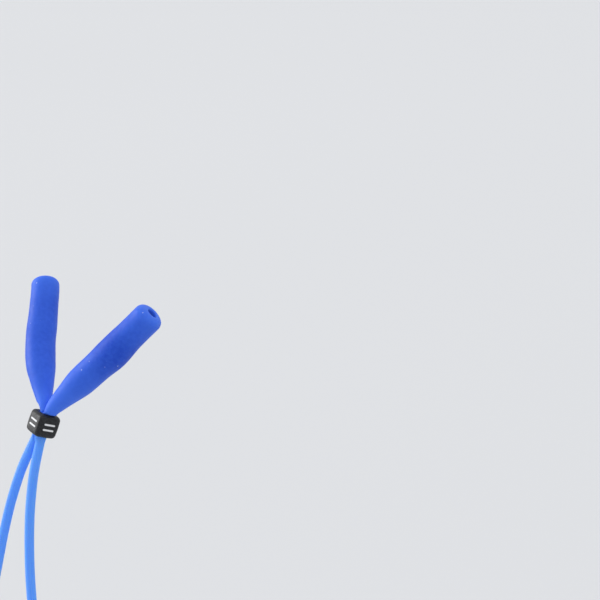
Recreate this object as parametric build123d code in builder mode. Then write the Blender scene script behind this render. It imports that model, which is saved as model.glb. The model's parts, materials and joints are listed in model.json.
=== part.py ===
"""Silicone retainer strap for eyeglasses, hanging from its right temple sleeve.

+X is the wearer's right, +Y is forward and +Z is up. The origin is the centre of the right
sleeve's mouth. The two sleeves slope down and back to one bead, which grips both strands of
a single cord, and the cord hangs below the bead as a loop. All sizes are in millimetres.
"""
from build123d import *

import os
from math import asin, cos, pi, radians, sin, tan

os.makedirs("parts", exist_ok=True)

# --- how the strap hangs ---
mouth_spacing = 51.4  # between the centres of the two mouths
sleeve_reach = 44.6  # from a mouth to the top of the bead, along the sleeve
v_lean = 30.5  # degrees that the V of the sleeves leans forward of vertical
bead_lean_forward = 17.2  # degrees that the bead's hole leans forward of vertical
bead_lean_right = 9.5  # and to the wearer's right of vertical
bead_turn = -6.4  # degrees that the bead is turned about its hole

# --- temple sleeves ---
sleeve_end = 8.0  # the sleeve starts this far above the bead, where its thin neck ends
sleeve_end_radius = 3.3
taper_top = 14.0  # the taper is full width this far above the bead
taper_radius = 4.3
belly_at = 28.0
belly_radius = 4.7
mouth_radius = 4.3
mouth_rounding = 2.0
socket_radius = 1.5
socket_depth = 26.0  # straight wall, above a round bottom

# --- cord ---
cord_radius = 1.4
squeezed_radius = 2.1  # the two strands share this circle inside the bead
strand_gap = 0.2  # between the flats of the two squeezed strands
squeezed_rounding = 0.45
squeezed_overhang = 0.3  # how far a strand keeps its squeezed section below the bead

# --- sliding bead ---
bead_width = 7.2
bead_height = 6.9
bead_rounding = 1.3
bead_hole_radius = 2.15
stripe_length = 3.6
stripe_width = 0.6
stripe_spacing = 1.6
stripe_depth = 0.2

# Right half of the cord's route, down from the bead: to the right of the bead's lower end,
# forward of it, and down from it.
right_route = [
    (0.9, -1.2, 3.8),
    (1.05, -3.6, 12.0),
    (2.2, -6.2, 26.0),
    (4.7, -7.9, 46.0),
    (10.0, -8.8, 67.0),
    (15.2, -9.1, 85.5),
    (18.4, -9.4, 101.5),
    (18.0, -9.6, 115.5),
    (13.6, -9.7, 127.3),
    (5.7, -9.8, 135.2),
    (-4.3, -9.8, 138.0),
]
# Left half, up from the loop's bottom.
left_route = [
    (-14.4, -9.8, 135.6),
    (-22.5, -9.7, 128.2),
    (-27.3, -9.5, 116.6),
    (-28.2, -9.2, 102.8),
    (-25.2, -8.9, 86.4),
    (-19.8, -8.7, 67.5),
    (-13.4, -7.9, 46.0),
    (-9.0, -6.2, 26.0),
    (-5.5, -3.6, 12.0),
    (-2.5, -1.2, 3.8),
]

# --- derived directions and places ---
half_angle = asin(mouth_spacing / 2 / sleeve_reach)
right = Vector(1, 0, 0)
v_up = Vector(0, sin(radians(v_lean)), cos(radians(v_lean)))
bead_up = Vector(
    sin(radians(bead_lean_right)) * cos(radians(bead_lean_forward)),
    sin(radians(bead_lean_forward)),
    cos(radians(bead_lean_right)) * cos(radians(bead_lean_forward)),
)
right_mouth = Vector(0, 0, 0)
bead_top = right_mouth - (right * sin(half_angle) + v_up * cos(half_angle)) * sleeve_reach
bead_bottom = bead_top - bead_up * bead_height
top_plane = Plane(origin=bead_top, x_dir=right, z_dir=bead_up)
bead_plane = Plane(
    origin=bead_top - bead_up * (bead_height / 2),
    x_dir=top_plane.x_dir.rotate(Axis((0, 0, 0), bead_up), bead_turn),
    z_dir=bead_up,
)


def sleeve_direction(side):
    """Unit vector from the bead to the mouth; side is 1 for right and -1 for left."""
    return right * (side * sin(half_angle)) + v_up * cos(half_angle)


def route_point(to_right, forward, down):
    return bead_bottom + Vector(to_right, forward, -down)


def squeezed_section(side):
    """Half of the bead's hole: a D with its flat side towards the other strand."""
    cut_width = 2 * squeezed_radius
    cut_centre = side * (strand_gap / 2 - squeezed_radius)
    Circle(squeezed_radius)
    with Locations((cut_centre, 0)):
        Rectangle(cut_width, cut_width, mode=Mode.SUBTRACT)


def finish(part, name):
    part.label = name
    export_step(part, f"parts/{name}.step")
    print(f"{name}: {len(part.solids())} solids, {part.volume:.1f} mm3")


# --- the cord's hanging loop: straight runs joined by arcs as large as the runs allow ---
route = [route_point(*point) for point in right_route + left_route]
arc_radii = []
for before, corner, after in zip(route, route[1:], route[2:]):
    shorter_run = min((corner - before).length, (after - corner).length)
    turn = (corner - before).get_angle(after - corner)
    arc_radii.append(0.45 * shorter_run / tan(radians(turn) / 2))
print("runs", [round((b - a).length, 1) for a, b in zip(route, route[1:])])
print("arc radii", [round(radius, 1) for radius in arc_radii])

with BuildPart() as cord_loop:
    with BuildLine() as loop_path:
        FilletPolyline(*route, radius=arc_radii)
    with BuildSketch(Plane(origin=route[0], z_dir=route[1] - route[0])):
        Circle(cord_radius)
    sweep(path=loop_path.wire())
finish(cord_loop.part, "cord_loop")
loop_length = loop_path.wire().length
section_times_length = pi * cord_radius**2 * loop_length
print(f"loop {loop_length:.1f} mm long, volume over section times length", end=" ")
print(f"{cord_loop.part.volume / section_times_length:.4f}")

# --- one sleeve, one neck and one squeezed strand on each side ---
for side, side_name, strand_ends in (
    (1, "right", (route[0], route[1])),
    (-1, "left", (route[-1], route[-2])),
):
    outward = sleeve_direction(side)
    axis_plane = Plane(origin=bead_top, x_dir=outward, z_dir=right.cross(v_up))
    socket_floor = sleeve_reach - socket_depth

    # Half section, drawn with x along the sleeve from the bead and y away from its axis.
    with BuildPart() as temple_sleeve:
        with BuildSketch(axis_plane):
            with BuildLine():
                skin = Spline(
                    (sleeve_end, sleeve_end_radius),
                    (taper_top, taper_radius),
                    (belly_at, belly_radius),
                    (sleeve_reach - mouth_rounding, mouth_radius),
                    tangents=((1, 0.24), (1, 0)),
                )
                rounded_edge = CenterArc(
                    (sleeve_reach - mouth_rounding, mouth_radius - mouth_rounding),
                    mouth_rounding, 90, -90,
                )
                Polyline(rounded_edge @ 1, (sleeve_reach, socket_radius), (socket_floor, socket_radius))
                RadiusArc((socket_floor, socket_radius), (socket_floor - socket_radius, 0), -socket_radius)
                Polyline((socket_floor - socket_radius, 0), (sleeve_end, 0), skin @ 0)
            make_face()
        revolve(axis=Axis(bead_top, outward))
    finish(temple_sleeve.part, f"{side_name}_temple_sleeve")

    # The neck gathers the round sleeve end into its half of the bead's hole.
    with BuildPart() as neck:
        with BuildSketch(top_plane) as neck_foot:
            squeezed_section(side)
            fillet(neck_foot.vertices(), squeezed_rounding)
        with BuildSketch(Plane(origin=bead_top + outward * sleeve_end, x_dir=axis_plane.z_dir, z_dir=outward)):
            Circle(sleeve_end_radius)
        loft()
    finish(neck.part, f"{side_name}_neck")

    # The strand is squeezed to a D through the bead and round again where it hangs free.
    free_end, next_point = strand_ends
    squeezed_length = bead_height + squeezed_overhang
    with BuildPart() as squeezed_strand:
        with BuildSketch(top_plane.offset(-squeezed_length)) as strand_section:
            squeezed_section(side)
            fillet(strand_section.vertices(), squeezed_rounding)
        extrude(amount=squeezed_length)
        with BuildSketch(top_plane.offset(-squeezed_length)) as lower_section:
            squeezed_section(side)
            fillet(lower_section.vertices(), squeezed_rounding)
        with BuildSketch(Plane(origin=free_end, z_dir=free_end - next_point)):
            Circle(cord_radius)
        loft()
    finish(squeezed_strand.part, f"{side_name}_squeezed_strand")

# --- the bead: a rounded block on the cord's axis, with two stripes sunk in each side face ---
with BuildPart() as bead_stripes:
    for face_normal in (bead_plane.x_dir, bead_plane.y_dir, -bead_plane.x_dir, -bead_plane.y_dir):
        face_centre = bead_plane.origin + face_normal * (bead_width / 2)
        with BuildSketch(Plane(origin=face_centre, x_dir=bead_up.cross(face_normal), z_dir=face_normal)):
            with Locations((0, stripe_spacing / 2), (0, -stripe_spacing / 2)):
                SlotOverall(stripe_length, stripe_width)
        extrude(amount=-stripe_depth)
finish(bead_stripes.part, "bead_stripes")

with BuildPart() as slider_bead:
    with BuildSketch(bead_plane.offset(-bead_height / 2)):
        Rectangle(bead_width, bead_width)
    extrude(amount=bead_height)
    fillet(slider_bead.edges(), bead_rounding)
    with BuildSketch(bead_plane.offset(-bead_height / 2)):
        Circle(bead_hole_radius)
    extrude(amount=bead_height, mode=Mode.SUBTRACT)
    add(bead_stripes.part, mode=Mode.SUBTRACT)
finish(slider_bead.part, "slider_bead")
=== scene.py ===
"""Looks of the silicone eyeglasses retainer strap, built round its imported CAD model.

Everything is in metres, in the CAD model's frame: +X is the wearer's right, +Y is forward, +Z is
up, and the origin is the centre of the right sleeve's mouth. Sides are 1 for right and -1 for
left. "Height" along a sleeve is the distance from the top of the bead towards the mouth.
"""
import json
from math import cos, pi, radians, sin

import bmesh
import bpy
import numpy as np
from mathutils import Matrix, Vector


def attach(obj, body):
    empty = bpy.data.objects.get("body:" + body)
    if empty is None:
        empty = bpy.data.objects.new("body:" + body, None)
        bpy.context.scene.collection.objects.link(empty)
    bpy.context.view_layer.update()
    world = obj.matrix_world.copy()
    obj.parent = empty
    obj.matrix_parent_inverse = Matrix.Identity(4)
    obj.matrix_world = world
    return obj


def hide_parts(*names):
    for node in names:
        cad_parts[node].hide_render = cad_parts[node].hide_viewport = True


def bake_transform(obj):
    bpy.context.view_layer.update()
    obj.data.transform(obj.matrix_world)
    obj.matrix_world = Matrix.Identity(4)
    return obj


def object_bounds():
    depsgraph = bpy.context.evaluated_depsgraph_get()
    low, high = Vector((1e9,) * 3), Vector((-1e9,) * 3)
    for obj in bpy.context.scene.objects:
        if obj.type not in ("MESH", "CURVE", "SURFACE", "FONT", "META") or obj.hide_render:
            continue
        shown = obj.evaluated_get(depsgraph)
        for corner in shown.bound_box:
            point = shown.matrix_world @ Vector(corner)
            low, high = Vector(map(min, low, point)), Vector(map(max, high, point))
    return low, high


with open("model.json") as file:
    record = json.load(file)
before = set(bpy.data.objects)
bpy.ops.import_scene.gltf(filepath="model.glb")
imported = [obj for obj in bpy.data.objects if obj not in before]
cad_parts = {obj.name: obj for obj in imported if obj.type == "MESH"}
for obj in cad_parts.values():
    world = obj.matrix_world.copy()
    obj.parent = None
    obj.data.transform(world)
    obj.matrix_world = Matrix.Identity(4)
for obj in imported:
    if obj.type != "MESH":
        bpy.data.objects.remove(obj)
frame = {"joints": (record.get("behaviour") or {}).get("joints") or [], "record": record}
cad_low, cad_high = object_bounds()

MM = 0.001

# --- camera ---
camera_azimuth = radians(55.0)  # from straight behind, towards the wearer's right
camera_elevation = radians(16.6)
camera_distance = 765 * MM  # from the top of the bead
aim_beside = 73.9 * MM  # the camera looks past the strap, which hangs at the picture's left
aim_above = 30.6 * MM
lens = 158.8
sensor_width = 36.0

# --- light and floor ---
window_azimuth = radians(-60)
window_elevation = radians(12)
window_spread = radians(36)
window_strength = 1.65
horizon_colour = (0.59, 0.595, 0.603)
ceiling_colour = (0.955, 0.96, 0.975)
horizon_rise = 0.1  # the sine of the elevation up to which the sky has the horizon's colour
ceiling_rise = 0.75  # and from which it has the ceiling's
sky_strength = 1.12
floor_radius = 30.0
floor_gap = 1 * MM  # below the loop
around_floor = 96

# --- sleeves ---
pivot_height = 4.0 * MM  # of each neck's joint above the bead
neck_top = 7.0 * MM  # where the sleeve's own line starts to bend towards the bead's hole
neck_foot = {1: 1.5 * MM, -1: 1.15 * MM}  # how far beside the hole's line each neck's foot is
neck_low = 0.45 * MM  # the lowest height at which a neck is still round
neck_hidden = -0.35 * MM  # where it is squeezed to a D, just inside the hole
neck_tuck = 0.8 * MM  # how far a neck reaches into the bead
neck_splay = {1: 0.45, -1: 0.9}  # how far a neck leaves the hole's direction for the sleeve's
neck_turned = 0.7  # share of a neck's rise in which its rings turn square to the sleeve
# (height, radius) of each sleeve's skin, in millimetres; the temple stretches the right one more
skin_outline = {
    1: [
        (-1.0, 1.75), (0.0, 1.85), (2.6, 2.33), (6.5, 2.98), (9.0, 3.40), (11.5, 3.86),
        (14.0, 4.22), (16.5, 4.34), (20.0, 4.39), (22.5, 4.43), (25.6, 4.57), (28.8, 4.60),
        (32.0, 4.56), (35.2, 4.43), (38.4, 4.41), (42.6, 4.42),
    ],
    -1: [
        (-1.0, 1.6), (0.0, 1.7), (2.0, 2.0), (4.7, 2.38), (7.5, 2.83), (9.6, 3.25), (12.0, 3.66),
        (15.2, 4.20), (18.7, 4.40), (25.0, 4.42), (29.0, 4.46), (33.0, 4.30), (38.0, 4.20),
        (42.6, 4.15),
    ],
}
# (height, distance outward) of the line that each sleeve follows, from the straight line
# between the bead and its mouth, in millimetres
sway = {
    1: [
        (0.0, 0.0), (6.0, 0.16), (12.0, 0.30), (18.0, 0.50), (25.0, 0.62), (35.0, 0.45),
        (40.0, 0.35), (44.6, 0.28),
    ],
    -1: [
        (0.0, 0.6), (4.0, 1.05), (7.0, 1.40), (12.0, 1.90), (19.0, 2.45), (25.0, 2.27),
        (31.5, 1.32), (37.0, 0.6), (41.5, 0.08), (44.6, 0.0),
    ],
}
# (height in millimetres, share of the shaded colour) of the painted light and shade along each
# sleeve:
# the neck and the lip are painted lighter for the light that thin silicone lets through, the left
# mouth lighter still as a painted highlight, and the middle darker as painted shade, where the
# dark end of a temple inside the right sleeve also shows faintly
painted_shading = {
    1: [
        (0.0, 0.0), (6.0, 0.1), (12.0, 0.25), (20.0, 0.5), (29.0, 1.0), (33.0, 0.95), (39.0, 0.6),
        (42.0, 0.45), (44.6, 0.05),
    ],
    -1: [
        (0.0, 0.0), (5.0, 0.15), (12.0, 0.5), (20.0, 0.7), (30.0, 0.72), (38.0, 0.6), (41.5, 0.38),
        (44.6, -0.15),
    ],
}
mouth_rounding = 2.0 * MM
mouth_fullness = 2.3  # 2 rounds the mouth as an ellipse does, and more makes it squarer
mouth_dome = {1: 0.4 * MM, -1: 0.05 * MM}  # how far the middle of a mouth stands past its edge
lip_rounding = 0.35 * MM
# The end of the glasses' temple pushes the right sleeve out on one side.
tip_bulge = {1: 0.5 * MM, -1: 0.0}
tip_height = 28.0 * MM
tip_spread = 4.3 * MM
floor_opening = radians(8)  # of the socket's round floor, which a fan of faces closes
around_sleeve = 96
floor_rings, socket_rings, lip_rings, edge_rings, skin_rings, hidden_rings = 10, 30, 7, 22, 124, 16

# --- cord ---
cord_radius = 1.4 * MM
squeezed_radius = 2.1 * MM  # the two strands share this circle inside the bead
flat_offset = 0.1 * MM  # of each squeezed strand's flat from the middle of the bead's hole
squeezed_centre = 0.95 * MM  # of a squeezed strand's section, from the middle of the hole
squeezed_corner = 9  # a higher power makes a sharper corner of the squeezed section
unsqueezed_depth = 2.6 * MM  # below the bead, where a strand is round again
strand_start = 0.3 * MM  # below the bead's top, where the hidden strands start
strand_scale = 0.95  # of their section, so that they lie inside the necks and the cord
around_cord = 40
strand_rings = 24
spline_steps = 24

# --- bead ---
bead_width = 7.2 * MM
bead_height = 6.9 * MM
bead_turn = radians(-6.4)  # about its hole
bead_rounding = 1.05 * MM
bead_pillow = 0.3 * MM  # how far the middle of a face stands out past its edges
bead_hole_radius = 2.15 * MM
bead_lip = 0.25 * MM
stripe_length = 3.6 * MM
stripe_width = 0.6 * MM
stripe_spacing = 1.6 * MM
stripe_recess = 0.16 * MM
stripe_fill = 0.09 * MM  # how far the paint lies below the bead's face
paint_overlap = 0.02 * MM  # how far the paint reaches into the groove's walls and floor
# (rise, inset) of the paint's rounded top edge, from the paint's level and the groove's wall
paint_edge = [(-0.02 * MM, -paint_overlap), (0.0, 0.04 * MM), (0.008 * MM, 0.16 * MM)]
sharp_edge = radians(40)  # edges of the bead's faces that turn more than this look sharp
around_bead = 168
around_stripe = 48
hole_rings, bead_lip_rings, face_rings = 14, 6, 76
skin_halvings = 36
lip_halvings = 30

# Right half of the cord's route, down from the bead: to the right of the bead's lower end,
# forward of it, and down from it, in millimetres.
right_route = [
    (0.9, -1.2, 3.8),
    (1.05, -3.6, 12.0),
    (2.2, -6.2, 26.0),
    (4.7, -7.9, 46.0),
    (10.0, -8.8, 67.0),
    (15.2, -9.1, 85.5),
    (18.4, -9.4, 101.5),
    (18.0, -9.6, 115.5),
    (13.6, -9.7, 127.3),
    (5.7, -9.8, 135.2),
    (-4.3, -9.8, 138.0),
]
# Left half, up from the loop's bottom.
left_route = [
    (-14.4, -9.8, 135.6),
    (-22.5, -9.7, 128.2),
    (-27.3, -9.5, 116.6),
    (-28.2, -9.2, 102.8),
    (-25.2, -8.9, 86.4),
    (-19.8, -8.7, 67.5),
    (-13.4, -7.9, 46.0),
    (-9.0, -6.2, 26.0),
    (-5.5, -3.6, 12.0),
    (-2.5, -1.2, 3.8),
]

# --- places that the frame gives ---
mounts = {mount["name"]: mount for mount in frame["record"]["mounts"]}
joints = {joint["name"]: joint for joint in frame["joints"]}
right_socket = mounts["right_temple_socket"]
right = Vector((1, 0, 0))
bead_up = -Vector(joints["bead_slide"]["axis"])
right_mouth = Vector(right_socket["pos_m"])
right_pivot = Vector(joints["right_neck_flex"]["pos_m"])
sleeve_reach = (right_mouth - right_pivot).length + pivot_height
bead_top = right_mouth - Vector(right_socket["axis"]) * sleeve_reach
bead_middle = bead_top - bead_up * (bead_height / 2)
bead_bottom = bead_top - bead_up * bead_height
socket_radius = right_socket["dims"]["r_mm"] * MM
socket_floor = sleeve_reach - right_socket["dims"]["length_mm"] * MM


def across(direction):
    """The two directions square to a direction: the one nearest the wearer's right, and back."""
    sideways = (right - right.dot(direction) * direction).normalized()
    return sideways, direction.cross(sideways)


bead_right, bead_forward = across(bead_up)


def side_name(side):
    return "right" if side > 0 else "left"


def outward_direction(side):
    """From the bead towards a sleeve's mouth."""
    return Vector(mounts[f"{side_name(side)}_temple_socket"]["axis"])


def smoothstep(low, high, value):
    share = np.clip((value - low) / (high - low), 0, 1)
    return share * share * (3 - 2 * share)


def smooth_value(points, place):
    """Value at a place on a smooth line through (place, value) points."""
    places, values = np.array(points).T
    slopes = np.gradient(values, places)
    i = int(np.clip(np.searchsorted(places, place) - 1, 0, len(places) - 2))
    width = places[i + 1] - places[i]
    t = (place - places[i]) / width
    start = (2 * t**3 - 3 * t**2 + 1) * values[i] + (t**3 - 2 * t**2 + t) * width * slopes[i]
    end = (3 * t**2 - 2 * t**3) * values[i + 1] + (t**3 - t**2) * width * slopes[i + 1]
    return start + end


def link(name, data):
    piece = bpy.data.objects.new(name, data)
    bpy.context.scene.collection.objects.link(piece)
    return piece


# --- camera ---
def horizon_direction(azimuth, elevation):
    """From the object towards an azimuth, counted from straight behind, and an elevation."""
    flat = cos(elevation)
    return Vector((sin(azimuth) * flat, -cos(azimuth) * flat, sin(elevation)))


def add_camera():
    camera = link("camera", bpy.data.cameras.new("camera"))
    back = horizon_direction(camera_azimuth, camera_elevation)
    beside = Vector((cos(camera_azimuth), sin(camera_azimuth), 0))
    above = back.cross(beside)
    camera.location = bead_top + back * camera_distance
    aim = bead_top + beside * aim_beside + above * aim_above
    camera.rotation_euler = (aim - camera.location).to_track_quat("-Z", "Y").to_euler()
    camera.data.lens = lens
    camera.data.sensor_width = sensor_width
    camera.data.clip_start = 0.01
    camera.data.clip_end = 100
    bpy.context.scene.camera = camera


# --- meshes ---
def link_mesh(name, verts, faces, material):
    """A smooth-shaded piece with all its faces turned outward."""
    mesh = bpy.data.meshes.new(name)
    mesh.from_pydata([tuple(v) for v in verts], [], faces)
    turned = bmesh.new()
    turned.from_mesh(mesh)
    bmesh.ops.recalc_face_normals(turned, faces=turned.faces)
    turned.to_mesh(mesh)
    turned.free()
    mesh.shade_smooth()
    mesh.materials.append(material)
    return link(name, mesh)


def band_faces(ring_count, count, first=0, closed=False):
    """Quads that join each ring of points to the next, and the last to the first if closed."""
    faces = []
    for ring_index in range(ring_count if closed else ring_count - 1):
        low = first + ring_index * count
        high = first + (ring_index + 1) % ring_count * count
        for i in range(count):
            after = (i + 1) % count
            faces.append((low + i, low + after, high + after, high + i))
    return faces


def skin(name, stacks, material):
    """A mesh with one closed body for each stack of rings, its ends closed with fans."""
    verts, faces = [], []
    for rings in stacks:
        count, first = len(rings[0]), len(verts)
        faces += band_faces(len(rings), count, first)
        verts += [point for points in rings for point in points]
        for points, start in ((rings[0], first), (rings[-1], first + (len(rings) - 1) * count)):
            centre = len(verts)
            verts.append(np.mean(points, axis=0))
            faces += [(start + i, start + (i + 1) % count, centre) for i in range(count)]
    return link_mesh(name, verts, faces, material)


def add_streak_map(piece, rings):
    """A UV map that runs once round each ring, and along the rings in metres."""
    count = len(rings[0])
    middles = np.array([np.mean(points, axis=0) for points in rings])
    along = np.concatenate([[0], np.cumsum(np.linalg.norm(np.diff(middles, axis=0), axis=1))])
    along = np.append(along, along[-1])  # for the fans' two middle points
    mesh = piece.data
    layer = mesh.uv_layers.new(name="round_and_along")
    for polygon in mesh.polygons:
        turns = [v % count for v in polygon.vertices]
        wraps = 0 in turns and count - 1 in turns
        for loop_index, v in zip(polygon.loop_indices, polygon.vertices):
            ring_index = min(v // count, len(rings))
            turn = count if wraps and v % count == 0 else v % count
            layer.data[loop_index].uv = (turn / count, along[ring_index])


def full_turn(count):
    return np.linspace(0, 2 * pi, count, endpoint=False)


def ring(centre, sideways, upright, radii):
    """Points round a centre, at these distances from it, starting towards sideways."""
    angles = full_turn(len(radii))
    outward = np.outer(np.cos(angles), sideways) + np.outer(np.sin(angles), upright)
    return np.array(centre) + outward * np.array(radii)[:, None]


def squeezed_radii(count, scale=1.0):
    """Distances from the centre of a squeezed strand's D section, its flat on the far side."""
    angles = full_turn(count)
    to_arc = np.sqrt(squeezed_radius**2 - (squeezed_centre * np.sin(angles)) ** 2)
    to_arc -= squeezed_centre * np.cos(angles)
    away_from_flat = 0.05  # a cosine at and under which the flat is as good as out of reach
    to_flat = (squeezed_centre - flat_offset) / np.maximum(-np.cos(angles), away_from_flat)
    corner = squeezed_corner
    return scale * (to_arc**-corner + to_flat**-corner) ** (-1 / corner)


# --- sleeves ---
def sleeve_line(side, height):
    """The point and the direction of a sleeve's middle line at a height."""
    outward = outward_direction(side)
    sideways = across(outward)[0] * side
    step = 0.25 * MM

    def point(at):
        return bead_top + outward * at + sideways * (smooth_value(sway[side], at / MM) * MM)

    return point(height), (point(height + step) - point(height - step)).normalized()


def neck_line(side, height):
    """The same below the sleeve, where the neck bends down to the bead."""
    top, top_direction = sleeve_line(side, neck_top)
    foot = bead_top + bead_right * (side * neck_foot[side]) + bead_up * neck_low
    foot_direction = bead_up.lerp((top - foot).normalized(), neck_splay[side]).normalized()
    span = (top - foot).length
    t = (height - neck_low) / (neck_top - neck_low)
    point = (
        foot * (2 * t**3 - 3 * t**2 + 1)
        + foot_direction * (span * (t**3 - 2 * t**2 + t))
        + top * (3 * t**2 - 2 * t**3)
        + top_direction * (span * (t**3 - t**2))
    )
    turned = float(smoothstep(0, neck_turned, t))
    return point, bead_up.lerp(top_direction, turned).normalized()


def sleeve_rings(side):
    """Rings from the socket's floor out over the lip, down the skin and into the bead's hole.

    Returns the rings, and the share of painted shade at each.
    """
    angles = full_turn(around_sleeve)
    even = np.ones(around_sleeve)
    rings = []
    painted_shadings = []

    def add_ring(height, radii):
        middle, direction = (sleeve_line if height > neck_top else neck_line)(side, height)
        sideways, upright = across(direction)
        rings.append(ring(middle, sideways * side, upright, radii))
        painted_shadings.append(smooth_value(painted_shading[side], height / MM))

    def skin_radii(height):
        plain = smooth_value(skin_outline[side], height / MM) * MM
        bulge = tip_bulge[side] * np.exp(-(((height - tip_height) / tip_spread) ** 2))
        return plain + bulge * ((1 + np.cos(angles)) / 2) ** 2

    # The socket's round floor and its wall.
    for a in np.linspace(floor_opening, pi / 2, floor_rings):
        add_ring(socket_floor - socket_radius * cos(a), even * (socket_radius * sin(a)))
    mouth_top = sleeve_reach + mouth_dome[side]
    lip_start = mouth_top - lip_rounding
    for height in np.linspace(socket_floor, lip_start, socket_rings)[1:]:
        add_ring(height, even * socket_radius)

    # The lip, the rounded edge of the mouth, and the skin.
    for a in np.linspace(0, pi / 2, lip_rings)[1:]:
        radius = socket_radius + lip_rounding * (1 - cos(a))
        add_ring(lip_start + lip_rounding * sin(a), even * radius)
    edge_start = sleeve_reach - mouth_rounding
    lip_radius = socket_radius + lip_rounding
    power = 2 / mouth_fullness
    for a in np.linspace(pi / 2, 0, edge_rings)[1:]:
        radii = lip_radius + (skin_radii(edge_start) - lip_radius) * cos(a) ** power
        add_ring(edge_start + (mouth_top - edge_start) * sin(a) ** power, radii)
    for height in np.linspace(edge_start, neck_low, skin_rings)[1:]:
        add_ring(height, skin_radii(height))

    # Under its swell the neck is squeezed to a D as it goes into the hole.
    swell, _ = neck_line(side, neck_low)
    squeezed = squeezed_radii(around_sleeve)
    for height in np.linspace(neck_low, -neck_tuck, hidden_rings)[1:]:
        share = float(smoothstep(neck_low, neck_hidden, height))
        hole = bead_top + bead_right * (side * squeezed_centre) + bead_up * height
        middle = (swell + bead_up * (height - neck_low)).lerp(hole, share)
        radii = squeezed * share + skin_radii(height) * (1 - share)
        rings.append(ring(middle, bead_right * side, bead_forward, radii))
        painted_shadings.append(0)
    return rings, painted_shadings


def add_sleeve(side, material):
    name = side_name(side)
    rings, painted_shadings = sleeve_rings(side)
    sleeve = skin(f"{name}_sleeve", [rings], material)
    # Each point carries its share of painted light and shade, which the sleeve's material reads.
    layer = sleeve.data.attributes.new("painted_shading", "FLOAT", "POINT")
    ends = [painted_shadings[0], painted_shadings[-1]]
    layer.data.foreach_set("value", np.append(np.repeat(painted_shadings, around_sleeve), ends))
    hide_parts(f"{name}_temple_sleeve", f"{name}_neck")
    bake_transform(sleeve)


# --- cord ---
def route_point(to_right, forward, down):
    return bead_bottom + Vector((to_right, forward, -down)) * MM


def smooth_route(corners):
    """Points along the NURBS curve that has these corners."""
    curve = bpy.data.curves.new("route", "CURVE")
    curve.dimensions = "3D"
    curve.resolution_u = spline_steps
    spline = curve.splines.new("NURBS")
    spline.points.add(len(corners) - 1)
    for point, corner in zip(spline.points, corners):
        point.co = (*corner, 1)
    spline.order_u = 3
    spline.use_endpoint_u = True
    route = link("route", curve)
    mesh = bpy.data.meshes.new_from_object(route)
    points = [vertex.co.copy() for vertex in mesh.vertices]
    bpy.data.objects.remove(route)
    bpy.data.curves.remove(curve)
    bpy.data.meshes.remove(mesh)
    return points


def tube_rings(points):
    """Rings of the cord along points: squeezed to a D in the bead, and round below it."""
    squeezed = squeezed_radii(around_cord)
    even = np.ones(around_cord)
    back = -bead_forward
    rings = []
    for i, point in enumerate(points):
        before = points[max(i - 1, 0)]
        after = points[min(i + 1, len(points) - 1)]
        tangent = (after - before).normalized()
        upright = (back - back.dot(tangent) * tangent).normalized()
        outward = upright.cross(tangent)
        below = (bead_bottom - point).dot(bead_up)
        share = float(smoothstep(unsqueezed_depth, 0, below))
        radii = squeezed * share + even * cord_radius * (1 - share)
        rings.append(ring(point, outward, upright, radii))
    return rings


def add_cord(material):
    """The hanging loop, from inside the bead round to inside the bead again."""
    ends = [bead_middle + bead_right * (side * squeezed_centre) for side in (1, -1)]
    exits = [bead_bottom + bead_right * (side * squeezed_centre) for side in (1, -1)]
    corners = [ends[0], exits[0]]
    corners += [route_point(*point) for point in right_route + left_route]
    corners += [exits[1], ends[1]]
    points = smooth_route(corners)
    rings = tube_rings(points)
    loop = skin("cord_loop_skin", [rings], material)
    add_streak_map(loop, rings)
    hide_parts("cord_loop")
    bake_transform(loop)


def add_strand(side, material):
    """The part of the cord above the middle of the bead, hidden until the bead slides down."""
    name = side_name(side)
    top = bead_top - bead_up * strand_start
    radii = squeezed_radii(around_cord, scale=strand_scale)
    rings = []
    for share in np.linspace(0, 1, strand_rings):
        middle = top.lerp(bead_middle, share) + bead_right * (side * squeezed_centre)
        rings.append(ring(middle, bead_right * side, bead_forward, radii))
    strand = skin(f"{name}_strand", [rings], material)
    add_streak_map(strand, rings)
    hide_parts(f"{name}_squeezed_strand")
    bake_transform(strand)


# --- bead ---
bead_across = Matrix.Rotation(bead_turn, 3, bead_up) @ bead_right
bead_axes = np.array([bead_across, bead_up.cross(bead_across), bead_up])


def bead_skin_points(directions):
    """Where lines from the bead's middle, in its own axes, meet its pillowed skin."""
    half = np.array([bead_width, bead_width, bead_height]) / 2
    core = half - bead_rounding
    low, high = np.zeros(len(directions)), np.full(len(directions), bead_width)
    for _ in range(skin_halvings):
        reach = (low + high) / 2
        points = directions * reach[:, None]
        squares = (points / half) ** 2
        pillow = bead_pillow * (squares.sum(axis=1, keepdims=True) - squares) / 2
        past_core = np.abs(points) + pillow - core
        distance = np.linalg.norm(np.maximum(past_core, 0), axis=1)
        inside = distance < bead_rounding
        low, high = np.where(inside, reach, low), np.where(inside, high, reach)
    return directions * high[:, None]


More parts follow.
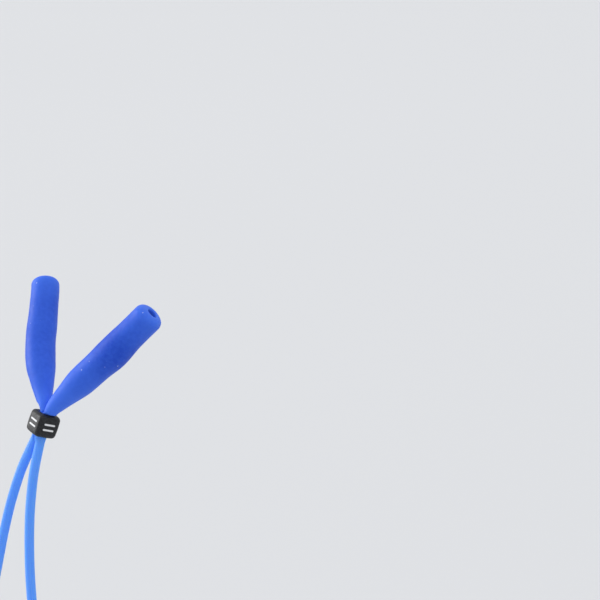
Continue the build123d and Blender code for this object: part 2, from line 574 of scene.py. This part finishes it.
def bead_rings():
    """Rings up the hole, over its lip, down the outside and back to the hole."""
    turns = full_turn(around_bead)

    def outside(rise):
        flat = np.cos(rise)
        directions = [flat * np.cos(turns), flat * np.sin(turns), np.sin(rise)]
        return bead_skin_points(np.stack(directions, axis=1))

    # The rise at which the outside meets the lip of the hole, found by halving, from two rises
    # that are surely too low and too high.
    low, high = np.full(around_bead, radians(10)), np.full(around_bead, radians(89))
    lip_radius = bead_hole_radius + bead_lip
    for _ in range(lip_halvings):
        rise = (low + high) / 2
        wide = np.linalg.norm(outside(rise)[:, :2], axis=1) > lip_radius
        low, high = np.where(wide, rise, low), np.where(wide, high, rise)
    lip_rise, lip_height = rise, outside(rise)[:, 2]
    wall_top = lip_height - bead_lip

    def hole_ring(radius, heights):
        return np.stack([radius * np.cos(turns), radius * np.sin(turns), heights], axis=1)

    def lip_ring(a, end):
        """A ring of the lip, from its wall at angle 0, at the top end (1) or the bottom (-1)."""
        return hole_ring(lip_radius - bead_lip * cos(a), end * (wall_top + bead_lip * sin(a)))

    rings = [
        hole_ring(bead_hole_radius, wall_top * share) for share in np.linspace(-1, 1, hole_rings)
    ]
    rings += [lip_ring(a, 1) for a in np.linspace(0, pi / 2, bead_lip_rings)[1:-1]]
    rings += [outside(lip_rise * share) for share in np.linspace(1, -1, face_rings)]
    rings += [lip_ring(a, -1) for a in np.linspace(pi / 2, 0, bead_lip_rings)[1:-1]]
    return [np.array(bead_middle) + points @ bead_axes for points in rings]


def stripe_stacks(levels):
    """For each stripe, its outline at each (height above the middle of the bead, inset)."""
    stacks = []
    turns = full_turn(around_stripe)
    straight = (stripe_length - stripe_width) / 2 * np.sign(np.cos(turns))
    for quarter in range(4):
        facing = Matrix.Rotation(quarter * pi / 2, 3, bead_up) @ bead_across
        along = bead_up.cross(facing)
        for lift in (stripe_spacing / 2, -stripe_spacing / 2):
            rings = []
            for level, inset in levels:
                end_radius = stripe_width / 2 - inset
                u = straight + end_radius * np.cos(turns)
                v = end_radius * np.sin(turns)
                middle = np.array(bead_middle + facing * level + bead_up * lift)
                rings.append(middle + np.outer(u, along) + np.outer(v, bead_up))
            stacks.append(rings)
    return stacks


def add_bead(plastic):
    """The bead, with the stripes' grooves cut in its four side faces."""
    rings = bead_rings()
    verts = [point for points in rings for point in points]
    faces = band_faces(len(rings), around_bead, closed=True)
    bead = link_mesh("bead", verts, faces, plastic)
    face = bead_width / 2
    groove = stripe_stacks([(face - stripe_recess, 0), (face + stripe_recess, 0)])
    cutter = skin("stripe_cutter", groove, plastic)
    cut = bead.modifiers.new("stripes", "BOOLEAN")
    cut.operation = "DIFFERENCE"
    cut.solver = "EXACT"
    cut.object = cutter
    evaluated = bead.evaluated_get(bpy.context.evaluated_depsgraph_get())
    carved = bpy.data.meshes.new_from_object(evaluated)
    bead.modifiers.clear()
    bead.data = carved
    carved.set_sharp_from_angle(angle=sharp_edge)
    bpy.data.objects.remove(cutter)
    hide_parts("slider_bead")
    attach(bead, "slider")


def add_stripes(paint):
    face = bead_width / 2
    levels = [(face - stripe_recess - paint_overlap, -paint_overlap)]
    levels += [(face - stripe_fill + rise, inset) for rise, inset in paint_edge]
    stripes = skin("stripe_paint", stripe_stacks(levels), paint)
    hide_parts("bead_stripes")
    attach(stripes, "slider")


# --- materials ---
# A noise's scale is its number of cells to a metre. Most of its values lie in this range.
noise_range = (0.3, 0.7)


class Graph:
    """A node tree, with the few nodes that these looks use."""

    def __init__(self, owner):
        owner.use_nodes = True
        self.nodes = owner.node_tree.nodes
        self.links = owner.node_tree.links
        self.coordinates = self.nodes.new("ShaderNodeTexCoord").outputs
        self.place = self.coordinates["Object"]

    def node(self, kind, **settings):
        """A new node with its input sockets linked, or set where the setting is a value."""
        node = self.nodes.new(kind)
        for socket, setting in settings.items():
            self.feed(node.inputs[socket.replace("_", " ")], setting)
        return node

    def feed(self, socket, setting):
        if isinstance(setting, bpy.types.NodeSocket):
            self.links.new(setting, socket)
        else:
            socket.default_value = setting

    def noise(self, scale, detail, roughness=0.5, vector=None):
        return self.node(
            "ShaderNodeTexNoise", Scale=scale, Detail=detail, Roughness=roughness,
            Vector=vector or self.place,
        ).outputs["Fac"]

    def remap(self, value, low, high, to_low=0.0, to_high=1.0):
        return self.node(
            "ShaderNodeMapRange", Value=value, From_Min=low, From_Max=high, To_Min=to_low,
            To_Max=to_high,
        ).outputs["Result"]

    def vary(self, low, high, scale, detail, vector=None):
        """Noise that drifts from low to high."""
        return self.remap(self.noise(scale, detail, vector=vector), *noise_range, low, high)

    def combine(self, operation, first, second):
        node = self.nodes.new("ShaderNodeMath")
        node.operation = operation
        node.use_clamp = True
        self.feed(node.inputs[0], first)
        self.feed(node.inputs[1], second)
        return node.outputs[0]

    def mix(self, share, first, second):
        """A colour between two, which are sockets or (red, green, blue)."""
        node = self.nodes.new("ShaderNodeMix")
        node.data_type = "RGBA"
        self.links.new(share, node.inputs["Factor"])
        for socket, colour in ((node.inputs[6], first), (node.inputs[7], second)):
            self.feed(socket, (*colour, 1) if isinstance(colour, tuple) else colour)
        return node.outputs[2]

    def bump(self, height, distance, strength=0.5):
        return self.node(
            "ShaderNodeBump", Height=height, Distance=distance, Strength=strength
        ).outputs["Normal"]


def new_material(name):
    """A material and its graph, and a function that feeds its shader's sockets."""
    material = bpy.data.materials.new(name)
    graph = Graph(material)
    shader = graph.nodes["Principled BSDF"]

    def surface(**settings):
        for socket, setting in settings.items():
            graph.feed(shader.inputs[socket.replace("_", " ")], setting)

    return material, graph, surface


def sleeve_silicone():
    """Matte silicone: painted light and shade by height, slow colour drift, fine moulded grain,
    and a few specks of dust.
    """
    material, graph, surface = new_material("sleeve_silicone")
    light, shaded_blue, pale = (0.050, 0.163, 0.81), (0.011, 0.066, 0.54), (0.06, 0.20, 0.90)
    dust_colour = (0.62, 0.70, 0.92)
    painted_shading_node = graph.nodes.new("ShaderNodeAttribute")
    painted_shading_node.attribute_name = "painted_shading"
    drift = graph.vary(-0.12, 0.12, scale=110, detail=2)
    # Painted light and shade: the share by height, with a random drift, mixes the light blue
    # towards the shaded blue, and below zero lightens it past the light blue.
    base = graph.mix(graph.combine("ADD", painted_shading_node.outputs["Fac"], drift), light, shaded_blue)
    base = graph.mix(graph.vary(0, 0.18, scale=900, detail=3), base, pale)

    # A speck is the middle of a cell, and only patches of the sleeve have any.
    cells = graph.node("ShaderNodeTexVoronoi", Scale=420, Vector=graph.place)
    speck = graph.remap(cells.outputs["Distance"], 0.05, 0.11, 1, 0)
    patch = graph.remap(graph.noise(scale=140, detail=2), 0.49, 0.60, 0, 0.5)
    dust = graph.combine("MULTIPLY", speck, patch)
    grain = graph.noise(scale=5200, detail=4, roughness=0.6)
    surface(
        Base_Color=graph.mix(dust, base, dust_colour),
        Roughness=graph.vary(0.46, 0.58, scale=400, detail=3),
        Normal=graph.bump(grain, distance=0.03 * MM),
        Specular_IOR_Level=0.19,
        Sheen_Weight=0.05,
        Sheen_Roughness=0.4,
        Sheen_Tint=(0.45, 0.62, 1.0, 1),
        Subsurface_Weight=0.12,
        Subsurface_Radius=(0.15, 0.3, 1.0),
        Subsurface_Scale=1.5 * MM,
    )
    return material


def cord_silicone():
    """Silicone of a more cyan blue than the sleeves', painted lighter for the light that comes
    through the thin cord, with faint streaks along its length from the die that drew it.
    """
    material, graph, surface = new_material("cord_silicone")
    # Painted light: both streak colours are lighter than the sleeves' blue, for the light that
    # comes through the thin cord.
    lit_streak_colours = (0.09, 0.31, 1.0), (0.12, 0.37, 1.0)
    streaks_round, streaks_to_metre = 24, 30
    stretch = graph.node(
        "ShaderNodeMapping", Scale=(streaks_round, streaks_to_metre, 1),
        Vector=graph.coordinates["UV"],
    )
    streaks = graph.vary(0, 1, scale=1, detail=2, vector=stretch.outputs["Vector"])
    grain = graph.noise(scale=6000, detail=3, roughness=0.6)
    surface(
        Base_Color=graph.mix(streaks, *lit_streak_colours),
        Roughness=graph.vary(0.44, 0.58, scale=500, detail=3),
        Normal=graph.bump(grain, distance=0.02 * MM),
        Specular_IOR_Level=0.35,
        Sheen_Weight=0.05,
        Sheen_Roughness=0.4,
        Sheen_Tint=(0.6, 0.75, 1.0, 1),
        Subsurface_Weight=0.5,
        Subsurface_Radius=(0.2, 0.4, 1.0),
        Subsurface_Scale=1.5 * MM,
    )
    return material


def bead_plastic():
    """Satin black plastic, with a fine spark-eroded grain."""
    material, graph, surface = new_material("bead_plastic")
    black, charcoal = (0.002, 0.0022, 0.003), (0.017, 0.0178, 0.0195)
    patches = graph.remap(graph.noise(scale=1900, detail=3), 0.4, 0.6)
    grain = graph.noise(scale=5200, detail=4, roughness=0.65)
    surface(
        Base_Color=graph.mix(patches, black, charcoal),
        Roughness=graph.vary(0.36, 0.54, scale=1500, detail=3),
        Normal=graph.bump(grain, distance=0.06 * MM, strength=0.6),
        Specular_IOR_Level=0.36,
    )
    return material


def stripe_paint():
    """White paint, slightly uneven."""
    material, graph, surface = new_material("stripe_paint")
    thin, thick = (0.72, 0.73, 0.75), (0.88, 0.88, 0.89)
    unevenness = graph.vary(0, 1, scale=3000, detail=3)
    surface(
        Base_Color=graph.mix(unevenness, thin, thick),
        Normal=graph.bump(unevenness, distance=0.03 * MM),
        Roughness=0.45,
    )
    return material


def floor_paint():
    material, graph, surface = new_material("floor_paint")
    shades = (0.66, 0.67, 0.685), (0.69, 0.70, 0.715)
    surface(
        Base_Color=graph.mix(graph.noise(scale=0.8, detail=2), *shades),
        Roughness=0.8,
        Specular_IOR_Level=0.2,
    )
    return material


# --- floor and light ---
def add_floor():
    """A wide pale disc just under the loop."""
    height = cad_low.z - floor_gap
    angles = full_turn(around_floor)
    rim = [(floor_radius * cos(a), floor_radius * sin(a), height) for a in angles]
    mesh = bpy.data.meshes.new("floor")
    mesh.from_pydata(rim, [], [tuple(range(len(rim)))])
    mesh.materials.append(floor_paint())
    link("floor", mesh)


def add_window():
    """Soft light from low on the left, like a tall window's, the same over the whole floor."""
    light = bpy.data.lights.new("window", "SUN")
    light.energy = window_strength
    light.angle = window_spread
    towards_window = horizon_direction(window_azimuth, window_elevation)
    link("window", light).rotation_euler = towards_window.to_track_quat("Z", "Y").to_euler()


def add_sky():
    """A soft white ceiling light that fades to a greyer room near the horizon."""
    world = bpy.data.worlds.new("studio")
    graph = Graph(world)
    split = graph.node("ShaderNodeSeparateXYZ", Vector=graph.coordinates["Generated"])
    share = graph.remap(split.outputs["Z"], horizon_rise, ceiling_rise)
    background = graph.nodes["Background"]
    graph.feed(background.inputs["Color"], graph.mix(share, horizon_colour, ceiling_colour))
    graph.feed(background.inputs["Strength"], sky_strength)
    bpy.context.scene.world = world


add_camera()
cord_material = cord_silicone()
add_cord(cord_material)
sleeve_material = sleeve_silicone()
for side in (1, -1):
    add_strand(side, cord_material)
    add_sleeve(side, sleeve_material)
add_bead(bead_plastic())
add_stripes(stripe_paint())

add_floor()
add_sky()
add_window()
bpy.context.scene.view_settings.view_transform = "Standard"
